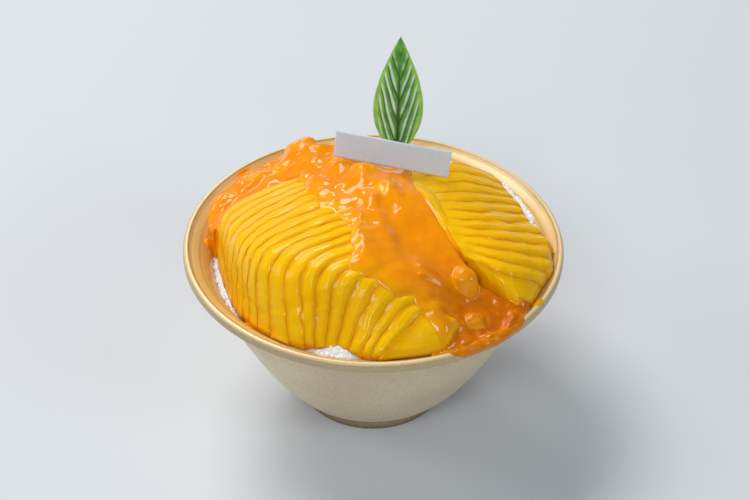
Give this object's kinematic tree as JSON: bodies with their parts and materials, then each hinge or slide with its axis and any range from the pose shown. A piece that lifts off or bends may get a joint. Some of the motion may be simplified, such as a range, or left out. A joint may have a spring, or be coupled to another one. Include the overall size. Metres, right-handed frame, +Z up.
{
  "type": "mango shaved ice in a bowl",
  "caption": "Shaved ice heaped in a round footed bowl, topped with fanned sliced mango, mango cubes, thick mango sauce, a blank card and an upright leaf.",
  "frame": {"origin": "centre of the underside of the bowl's foot, on the surface it stands on", "axes": "+Z up along the bowl's axis; -Y towards the side where the sliced mango reaches the rim, seen from the front; +X to the right"},
  "size_m": [0.18, 0.18, 0.176],
  "materials": {
    "bowl": "satin beige stoneware glaze with fine speckle, warmer and glossier inside",
    "shaved_ice": "white, granular, wet, slightly translucent",
    "mango": "moist golden mango flesh with fine fibres",
    "mango_sauce": "thick glossy orange mango sauce",
    "blank_card": "plain matte card, nothing printed on it",
    "leaf": "glossy green leaf with dark veins and pale edges"
  },
  "bodies": {
    "root": {"bowl": "bowl", "shaved_ice": "shaved_ice", "left_slice_01": "mango", "left_slice_02": "mango", "left_slice_03": "mango", "left_slice_04": "mango", "left_slice_05": "mango", "left_slice_06": "mango", "left_slice_07": "mango", "left_slice_08": "mango", "left_slice_09": "mango", "left_slice_10": "mango", "left_slice_11": "mango", "left_slice_12": "mango", "left_slice_13": "mango", "left_slice_14": "mango", "left_slice_15": "mango", "left_slice_16": "mango", "left_slice_17": "mango", "left_slice_18": "mango", "left_slice_19": "mango", "right_slice_01": "mango", "right_slice_02": "mango", "right_slice_03": "mango", "right_slice_04": "mango", "right_slice_05": "mango", "right_slice_06": "mango", "right_slice_07": "mango", "right_slice_08": "mango", "right_slice_09": "mango", "right_slice_10": "mango", "right_slice_11": "mango", "right_slice_12": "mango", "mango_cheek": "mango", "mango_cube_1": "mango", "mango_cube_2": "mango", "mango_cube_3": "mango", "mango_cube_4": "mango", "mango_cube_5": "mango", "mango_cube_6": "mango", "mango_cube_7": "mango", "mango_cube_8": "mango", "mango_cube_9": "mango", "mango_cube_10": "mango", "mango_cube_11": "mango", "mango_lump_1": "mango", "mango_lump_2": "mango", "mango_sauce": "mango_sauce", "blank_card": "blank_card", "leaf": "leaf"}
  },
  "joints": []
}
